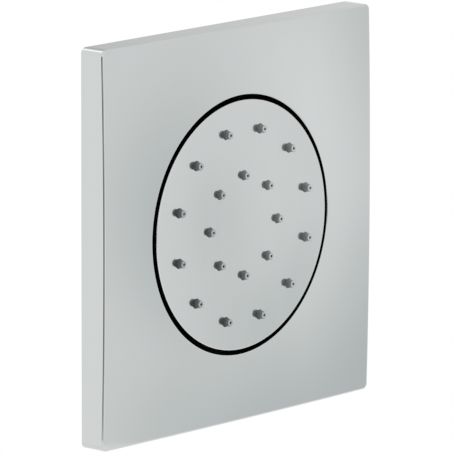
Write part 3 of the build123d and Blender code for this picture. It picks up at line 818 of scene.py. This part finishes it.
# Ball joint
# A turned brass ball on a hollow stem, a rubber packing behind it and a slippery acetal ring in front.
# The cap nut holds the ball in its socket and sets how stiffly the head turns.
ACETAL_DARK = (0.76, 0.76, 0.72)
ACETAL_LIGHT = (0.82, 0.82, 0.79)
white_acetal, acetal_shader, acetal_place = finish_named("white_acetal", subsurface_weight=0.1)
acetal_shade = acetal_place.noise(150.0, 3.0)
acetal_shade.tint(ACETAL_DARK, ACETAL_LIGHT).into(acetal_shader, "Base Color")
(0.3 + 0.15 * acetal_shade).into(acetal_shader, "Roughness")
dress("ball_seal", black_rubber)
dress("ball_stem", turned_brass)
dress("seat_ring", white_acetal)
dress("cap_nut", turned_brass)


# Spray chamber
# A grey moulded dish that spreads the water behind the nozzles, screwed on the stem over a washer.
# A brass ring, turned with a pin spanner, clamps it into the face's rim.
dress("stem_washer", black_rubber)
dress("spray_chamber", grey_moulding)
dress("clamp_ring", turned_brass)


# Nozzle mat
# One soft grey silicone moulding: a web with twenty nozzles that stand through the polished face.
# Each nozzle has a collar in its hole and a tapered tip, which is rubbed to free it of scale.
FACE_RADIUS = 37.97
FACE_FRONT = 9.866
FACE_DOME = 815.0
FACE_BACK = 8.346
MAT_BACK = 7.046
MAT_RADIUS = 36.22
BEAD_RADIUS = 34.145
BEAD_HALF = 0.6
BEAD_HEIGHT = 0.6
COLLAR_RADIUS = 1.5
COLLAR_HEIGHT = 0.16
NOZZLE_RADIUS = 1.25
TIP_RADIUS = 1.13
TIP = FACE_FRONT + 2.36
TIP_ROUND = 0.22
JET_RADIUS = 0.4
JET_DEPTH = 0.9
FEED_RADIUS = 0.9
# Radius, number of nozzles and angle of the first one, for each circle
NOZZLE_CIRCLES = ((29.46, 12, 15.0), (15.26, 8, 0.0))

# Dark grey silicone with a faint random speckle, and painted light on it: a painted highlight on the end
# of each tip, a painted lighter band from the root up to the tip, and paler nozzles to the upper right
# as if lit from there
SILICONE_DARK = (0.042, 0.049, 0.05)
SILICONE_PALE = (0.53, 0.547, 0.546)
PAINTED_TIP_SHARE = 0.41
PAINTED_TAPER_SHARE = 0.22
PAINTED_UPPER_RIGHT_SHARE = 0.24
SPECKLE_SHARE = 0.04
PAINTED_LIGHT_SPREAD = 36.0
TIP_HIGHLIGHT_FROM = 0.28
TIP_HIGHLIGHT_FULL = 0.02
TAPER_LIGHT_FROM = 2.2
TAPER_LIGHT_FULL = 0.05
nozzle_silicone, silicone_shader, silicone_place = finish_named(
    "nozzle_silicone", specular_ior_level=0.35
)
silicone_x, silicone_y, silicone_z = silicone_place.split()
silicone_forward = 0.0 - silicone_y
# Painted light: nozzles towards the upper right are made paler, as if lit from there
painted_upper_right_light = (silicone_x + 0.4 * silicone_z).step(-PAINTED_LIGHT_SPREAD * MM, PAINTED_LIGHT_SPREAD * MM)
# Painted highlight: the end of each tip is made pale
painted_tip_highlight = silicone_forward.step((TIP - TIP_HIGHLIGHT_FROM) * MM, (TIP - TIP_HIGHLIGHT_FULL) * MM)
# Painted light: each nozzle's body grows paler from the root up to the tip
painted_taper_light = silicone_forward.step((TIP - TAPER_LIGHT_FROM) * MM, (TIP - TAPER_LIGHT_FULL) * MM)
speckle = silicone_place.noise(500.0, 2.0)
# The painted light and a little random speckle set how pale the silicone is
painted_light_and_speckle = PAINTED_TIP_SHARE * painted_tip_highlight + PAINTED_TAPER_SHARE * painted_taper_light
painted_light_and_speckle = painted_light_and_speckle + PAINTED_UPPER_RIGHT_SHARE * painted_upper_right_light + SPECKLE_SHARE * speckle
painted_light_and_speckle.tint(SILICONE_DARK, SILICONE_PALE).into(silicone_shader, "Base Color")
(0.42 + 0.1 * speckle).into(silicone_shader, "Roughness")


def face_height(radius):
    """Height of the gently domed face at a distance from the jet's axis."""
    return FACE_FRONT + sqrt(FACE_DOME**2 - radius**2) - sqrt(FACE_DOME**2 - FACE_RADIUS**2)


def nozzle_at(circle_radius):
    """One nozzle, on the circle straight to the right."""
    collar_top = face_height(circle_radius) + COLLAR_HEIGHT
    nozzle = turned(
        rounded([
            (FEED_RADIUS, MAT_BACK, 0),
            (COLLAR_RADIUS, MAT_BACK, 0),
            (COLLAR_RADIUS, collar_top, 0.1),
            (NOZZLE_RADIUS, collar_top, 0.06),
            (TIP_RADIUS, TIP, TIP_ROUND),
            (JET_RADIUS, TIP, 0.1),
            (JET_RADIUS, TIP - JET_DEPTH, 0),
            (FEED_RADIUS, FACE_FRONT, 0),
        ], steps=4, support=0.02),
        BAR_STEPS,
    )
    nozzle.transform(Matrix.Translation((circle_radius * MM, 0, 0)))
    return nozzle


CUT_BEYOND = 1.0


def hole_at(circle_radius, radius, back, front):
    """A round cutter, on the circle straight to the right."""
    cutter = bar(radius, back, front)
    cutter.transform(Matrix.Translation((circle_radius * MM, 0, 0)))
    return cutter


web = turned([
    (0, MAT_BACK),
    (BEAD_RADIUS - BEAD_HALF, MAT_BACK),
    (BEAD_RADIUS - BEAD_HALF, MAT_BACK - BEAD_HEIGHT),
    (BEAD_RADIUS + BEAD_HALF, MAT_BACK - BEAD_HEIGHT),
    (BEAD_RADIUS + BEAD_HALF, MAT_BACK),
    (MAT_RADIUS, MAT_BACK),
    (MAT_RADIUS, FACE_BACK),
    (0, FACE_BACK),
])
feed_holes = []
nozzles = []
for circle, count, first in NOZZLE_CIRCLES:
    feed_hole = hole_at(circle, (FEED_RADIUS + COLLAR_RADIUS) / 2, MAT_BACK - CUT_BEYOND, FACE_FRONT)
    feed_holes.append(spread_round(feed_hole, count, first, nozzle_silicone))
    nozzles.append(spread_round(nozzle_at(circle), count, first, nozzle_silicone))
mat = joined("nozzle_mat_moulded", [cut_out(web, feed_holes), *nozzles])
coated(mat, nozzle_silicone, "spray_head", "nozzle_mat")


# Spray face
# A slightly domed brass disc with a deep rim and twenty nozzle holes, polished and chrome plated.
# It floats in the trim plate's opening with a narrow black gap all round, so that it can be aimed.
CHROME_DARK = (0.61, 0.63, 0.627)
CHROME_LIGHT = (0.64, 0.66, 0.657)
WIPE_MARKS = (70.0, 70.0, 14.0)
SATIN_FROM = 38.4
SATIN_FULL = 37.9
polished_chrome, chrome_shader, chrome_place = finish_named("polished_chrome", metallic=1.0)
wiped = chrome_place.node("ShaderNodeMapping", {}, {"Vector": chrome_place, "Scale": WIPE_MARKS})
smear = wiped.noise(1.0, 4.0, 0.6)
plating = chrome_place.noise(22.0, 3.0)
chrome_x, _, chrome_z = chrome_place.split()
off_axis = chrome_place.math("SQRT", chrome_x * chrome_x + chrome_z * chrome_z)
# The face is a shade paler and less sharply polished than the plate round it
satin = 1.0 - off_axis.step(SATIN_FULL * MM, SATIN_FROM * MM)
(0.6 * plating + 0.6 * satin).tint(CHROME_DARK, CHROME_LIGHT).into(chrome_shader, "Base Color")
(0.02 + 0.05 * smear.step(0.35, 0.8) + 0.11 * satin).into(chrome_shader, "Roughness")

FACE_RIM_BACK = 1.646
FACE_INNER = 36.47
FACE_EDGE = 0.25
FACE_RINGS = (0, 1.5, 4, 7, 10, 13, 16, 19, 22, 25, 28, 31, 34, 36, 37.2)
FACE_STEPS = 216
HOLE_CLEARANCE = 0.05
face_blank = turned(
    rounded([
        *((radius, face_height(radius), 0) for radius in FACE_RINGS),
        (FACE_RADIUS, FACE_FRONT, FACE_EDGE),
        (FACE_RADIUS, FACE_RIM_BACK, 0.15),
        (FACE_INNER, FACE_RIM_BACK, 0.15),
        (FACE_INNER, FACE_BACK, 0.3),
        (0, FACE_BACK, 0),
    ], steps=6),
    FACE_STEPS,
)
nozzle_holes = []
for circle, count, first in NOZZLE_CIRCLES:
    nozzle_hole = hole_at(
        circle, COLLAR_RADIUS + HOLE_CLEARANCE, FACE_BACK - CUT_BEYOND, FACE_FRONT + CUT_BEYOND
    )
    nozzle_holes.append(spread_round(nozzle_hole, count, first, polished_chrome))
face = joined("spray_face_polished", [cut_out(face_blank, nozzle_holes)])
coated(face, polished_chrome, "spray_head", "spray_face")


# Trim plate
# A gently domed square shell of polished chrome with a round opening, which hides the hole in the wall.
# Four studs behind it push into split acetal bushes in the cup's flange.
dress("grip_bushes", white_acetal)

PLATE_HALF = 60.0
PLATE_CORNER = 1.8
PLATE_WALL = 2.0
PLATE_FRONT = 9.9945
DOME_RADIUS = 2190.0
EDGE_ROUND = 0.45
OPENING_RADIUS = 39.45
OPENING_ROUND = 0.3
RELIEF = 0.8
CAVITY_CORNER = 1.0
STUD_RADIUS = 2.5
STUD_BOSS = 4.0
STUD_TIP = 1.8
STUD_ROOT = 8.8
STUD_BOSS_BACK = 6.115
STUD_LEAD = 0.6
EDGE_STEPS = 7
LIP_STEPS = 6
# Rings across the dome from lip to edge, down the side, and over the back of the dome
DOME_SHARES = (0.0, 0.004, 0.05, 0.14, 0.26, 0.4, 0.55, 0.7, 0.82, 0.91, 0.97, 0.996, 1.0)
SIDE_HEIGHTS = (7.6, 4.0, 0.1, 0.0)
CAVITY_SHARES = (0.02, 0.25, 0.5, 0.75, 1.0)


def dome(place, depth=0.0):
    """Height of the domed front, or of a surface some depth behind it, over a place."""
    reach = DOME_RADIUS - depth
    return PLATE_FRONT - DOME_RADIUS + sqrt(reach**2 - place[0] ** 2 - place[2] ** 2)


def on_dome(ring, depth=0.0):
    """A ring of places moved on to the dome."""
    return [(x, -dome((x, 0, z), depth), z) for x, y, z in ring]


def between(first, last, share):
    """A ring part of the way from one ring to another."""
    return [tuple(Vector(a).lerp(Vector(b), share)) for a, b in zip(first, last)]


def plate_ring(inset, corner):
    """Places round the plate's outline on the wall, some way inside it."""
    return square_ring(PLATE_HALF - inset, corner, 0.0, side_steps=56, corner_steps=10)


def at_height(ring, height):
    """A ring of places moved to one height."""
    return [(x, -height, z) for x, y, z in ring]


plate_rings = []
edge_line = plate_ring(EDGE_ROUND, PLATE_CORNER - EDGE_ROUND)
lip_line = circle_ring(OPENING_RADIUS + OPENING_ROUND, 0, edge_line)
# Front dome from the opening's lip to the edge
for share in DOME_SHARES:
    plate_rings.append(on_dome(between(lip_line, edge_line, share)))
# Rounded edge, then the straight side down to the wall
edge_heights = [-place[1] for place in plate_rings[-1]]
for step in range(1, EDGE_STEPS + 1):
    angle = step / EDGE_STEPS * pi / 2
    inset = EDGE_ROUND * (1 - sin(angle))
    drop = EDGE_ROUND * (1 - cos(angle))
    ring = plate_ring(inset, PLATE_CORNER - inset)
    plate_rings.append([(x, -(height - drop), z) for (x, y, z), height in zip(ring, edge_heights)])
side_line = plate_ring(0.0, PLATE_CORNER)
for height in SIDE_HEIGHTS:
    plate_rings.append(at_height(side_line, height))
# Back edge on the wall, and the room inside the shell
cavity_line = plate_ring(PLATE_WALL, CAVITY_CORNER)
plate_rings.append(at_height(cavity_line, 0.0))
plate_rings.append(at_height(cavity_line, 0.1))
plate_rings.append(on_dome(cavity_line, PLATE_WALL))
relief_line = circle_ring(OPENING_RADIUS + RELIEF, 0, edge_line)
for share in CAVITY_SHARES:
    plate_rings.append(on_dome(between(cavity_line, relief_line, share), PLATE_WALL))
# Swing relief, the opening's wall and its rounded lip
opening_line = circle_ring(OPENING_RADIUS, 0, edge_line)
relief_height = dome((OPENING_RADIUS, 0, 0), PLATE_WALL) + RELIEF
lip_height = dome((OPENING_RADIUS + OPENING_ROUND, 0, 0))
plate_rings.append(at_height(opening_line, relief_height))
plate_rings.append(at_height(opening_line, relief_height + 0.05))
for step in range(LIP_STEPS):
    angle = step / LIP_STEPS * pi / 2
    radius = OPENING_RADIUS + OPENING_ROUND * (1 - cos(angle))
    plate_rings.append(circle_ring(radius, lip_height - OPENING_ROUND * (1 - sin(angle)), edge_line))
shell = mesh_of(*wrapped(plate_rings))

stud = turned(
    rounded([
        (0, STUD_TIP, 0),
        (STUD_RADIUS - STUD_LEAD, STUD_TIP, 0.1),
        (STUD_RADIUS, STUD_TIP + STUD_LEAD, 0.2),
        (STUD_RADIUS, STUD_BOSS_BACK, 0.4),
        (STUD_BOSS, STUD_BOSS_BACK, 0.3),
        (STUD_BOSS, STUD_ROOT, 0),
        (0, STUD_ROOT, 0),
    ]),
    BAR_STEPS,
)
plate = joined("trim_plate_polished", [shell, spread_square(stud, *BUSH_SPACING, polished_chrome)])
coated(plate, polished_chrome, "wall_unit", "trim_plate")


# Studio
# A white tent with soft grey panels that the polish mirrors, two dark slits between its cloths,
# a pale floor below, and the photograph's long lens from the left and a little above.
scene = bpy.context.scene
scene.view_settings.view_transform = "Standard"

tent = bpy.data.worlds.new("white_tent")
tent.use_nodes = True
scene.world = tent
tent_shader = tent.node_tree.nodes["Background"]
ray = Wire(tent.node_tree, tent.node_tree.nodes.new("ShaderNodeTexCoord").outputs["Generated"])
ray_x, ray_y, ray_z = ray.split()
DEGREE = pi / 180
FULL_TURN = 360.0
SLIT_DARK_SHARE = 0.8
ray_turn = ray.math("ARCTAN2", ray_y, ray_x) / DEGREE
ray_rise = ray.math("ARCSINE", ray_z) / DEGREE


def off_panel(turn, rise, half_width, half_height):
    """How far a ray is from a panel's middle, across and upward, in half widths and half heights."""
    past_back = ray.math("FLOORED_MODULO", ray_turn - turn + 1.5 * FULL_TURN, FULL_TURN)
    across = (past_back - FULL_TURN / 2) / half_width
    upward = (ray_rise - rise) / half_height
    return across, upward


def panel(turn, rise, half_width, half_height, flat):
    """1 where a ray looks at the middle of a soft round panel, 0 outside it. Angles are in degrees."""
    across, upward = off_panel(turn, rise, half_width, half_height)
    return 1.0 - ray.math("SQRT", across * across + upward * upward).step(flat, 1.0)


def slit(turn, rise, half_width, half_height):
    """1 where a ray looks out through a slit between two cloths, 0 on the cloth."""
    across, upward = off_panel(turn, rise, half_width, half_height)
    sides = ray.math("MAXIMUM", ray.math("ABSOLUTE", across), ray.math("ABSOLUTE", upward))
    return 1.0 - sides.step(SLIT_DARK_SHARE, 1.0)


def looked_at_in(tree):
    """Whether a ray comes from the camera, and whether it comes from the camera, a mirror or glass."""
    path = tree.nodes.new("ShaderNodeLightPath")
    kinds = ("Is Camera Ray", "Is Glossy Ray", "Is Transmission Ray")
    seen, shine, through = (Wire(tree, path.outputs[kind]) for kind in kinds)
    return seen, seen.math("MAXIMUM", seen, seen.math("MAXIMUM", shine, through))


# Turn, rise, half width, half height, share of flat middle and change of tone: what the front mirrors,
# which is a little cooler where it is darker, and then the rest of the tent
FRONT_PANELS = (
    (-41.1, -9.8, 4.8, 3.8, 0.0, 0.25),
    (-42.4, -10.2, 4.6, 3.7, 0.0, -0.32),
    (-36.3, -12.8, 3.1, 2.9, 0.0, -0.16),
    (-37.4, -6.7, 2.2, 6.7, 0.0, -0.09),
    (-38.9, -15.0, 8.2, 2.9, 0.0, -0.19),
    (-43.6, -13.8, 2.2, 8.0, 0.0, -0.03),
)
PANELS = (
    (-62.0, -10.0, 14.0, 24.0, 0.4, 0.4),
    (100.0, 48.0, 24.0, 9.0, 0.2, 0.75),
    (130.0, 25.0, 20.0, 22.0, 0.3, 0.12),
    (52.0, 24.0, 30.0, 30.0, 0.55, -0.14),
    (48.5, 18.0, 10.0, 26.0, 0.3, -0.28),
    (138.0, -11.0, 40.0, 26.0, 0.4, 0.1),
)
# Dark slits on both sides of the camera, which the front left edge draws together into one thin line
SLITS = (
    (-181.0, -8.8, 33.5, 5.6),
    (-108.0, -9.0, 14.0, 7.6),
)
SLIT_TONE = -0.9
TENT_TONE = 0.92
COOL_TONE = 0.74
COOL_RED = 0.045
WHITE = (1, 1, 1, 1)
FILL = 0.6
tone = TENT_TONE
for *place_and_size, change in FRONT_PANELS:
    tone = panel(*place_and_size) * change + tone
less_red = 1.0 - COOL_RED + COOL_RED * tone.step(COOL_TONE, TENT_TONE)
for *place_and_size, change in PANELS:
    tone = panel(*place_and_size) * change + tone
for place_and_size in SLITS:
    tone = slit(*place_and_size) * SLIT_TONE + tone
seen, looked_at = looked_at_in(tent.node_tree)
cool = ray.node("ShaderNodeCombineColor", {}, {"Red": tone * less_red, "Green": tone, "Blue": tone})
backdrop = ray.node("ShaderNodeMix", {"data_type": "RGBA"}, {0: seen, 6: cool, 7: WHITE}, out=2)
backdrop.into(tent_shader, "Color")
(FILL + (1.0 - FILL) * looked_at).into(tent_shader, "Strength")

FLOOR_LEVEL = -0.2
FLOOR_SIZE = 0.5
FLOOR_WHITE = 0.9
FLOOR_PAPER = (0.82, 0.82, 0.82, 1)
floor_mesh = bpy.data.meshes.new("floor")
floor_form = bmesh.new()
bmesh.ops.create_circle(floor_form, cap_ends=True, segments=96, radius=FLOOR_SIZE)
bmesh.ops.translate(floor_form, verts=floor_form.verts, vec=(0, 0, FLOOR_LEVEL))
floor_form.to_mesh(floor_mesh)
floor_form.free()
floor = scene_object("floor", floor_mesh)
floor_finish, floor_shader, _ = finish_named(
    "floor_paper", base_color=FLOOR_PAPER, roughness=0.9
)
floor_tree = floor_finish.node_tree
floor_seen, floor_looked_at = looked_at_in(floor_tree)
white = floor_seen.node("ShaderNodeEmission", {}, {"Color": WHITE, "Strength": 1.0})
paper = Wire(floor_tree, floor_shader.outputs["BSDF"])
whitened = FLOOR_WHITE * floor_looked_at
shown = floor_seen.node("ShaderNodeMixShader", {}, {0: whitened, 1: paper, 2: white})
# From below the floor is clear, so that the jet can be seen from there too
from_below = floor_seen.node("ShaderNodeNewGeometry", out="Backfacing")
clear = floor_seen.node("ShaderNodeBsdfTransparent")
one_sided = floor_seen.node("ShaderNodeMixShader", {}, {0: from_below, 1: shown, 2: clear})
floor_tree.links.new(one_sided.socket, floor_tree.nodes["Material Output"].inputs["Surface"])
floor_mesh.materials.append(floor_finish)


def softbox(name, place, size, watts):
    """A square soft lamp that faces the jet."""
    lamp = bpy.data.lights.new(name, "AREA")
    lamp.size = size
    lamp.energy = watts
    made = bpy.data.objects.new(name, lamp)
    scene.collection.objects.link(made)
    made.location = place
    made.rotation_euler = (-Vector(place)).to_track_quat("-Z", "Y").to_euler()
    made.visible_glossy = False


softbox("key_softbox", place=(0.9, -1.1, 0.7), size=0.8, watts=14.0)
softbox("top_softbox", place=(-0.2, 0.1, 1.3), size=0.9, watts=8.0)

CAMERA_TURN = radians(-48.315)
CAMERA_RISE = radians(10.93)
CAMERA_ROLL = radians(0.134)
CAMERA_DISTANCE = 1.9845
CAMERA_SHIFT = (0.002562, -0.00155)
FOCAL_PIXELS = 6603.0
FRAME_PIXELS = 452
backwards = Vector((
    sin(CAMERA_TURN) * cos(CAMERA_RISE), -cos(CAMERA_TURN) * cos(CAMERA_RISE), sin(CAMERA_RISE)
))
rightwards = Vector((0, 0, 1)).cross(backwards).normalized()
upwards = backwards.cross(rightwards)
lens = bpy.data.cameras.new("photo_lens")
lens.sensor_width = 36.0
lens.lens = FOCAL_PIXELS / FRAME_PIXELS * lens.sensor_width
lens.clip_start = 0.1
lens.clip_end = 50.0
camera = bpy.data.objects.new("photo_camera", lens)
scene.collection.objects.link(camera)
camera_place = rightwards * CAMERA_SHIFT[0] + upwards * CAMERA_SHIFT[1] + backwards * CAMERA_DISTANCE
level_axes = Matrix((rightwards, upwards, backwards)).transposed()
camera_axes = level_axes @ Matrix.Rotation(CAMERA_ROLL, 3, "Z")
camera.matrix_world = Matrix.Translation(camera_place) @ camera_axes.to_4x4()
scene.camera = camera
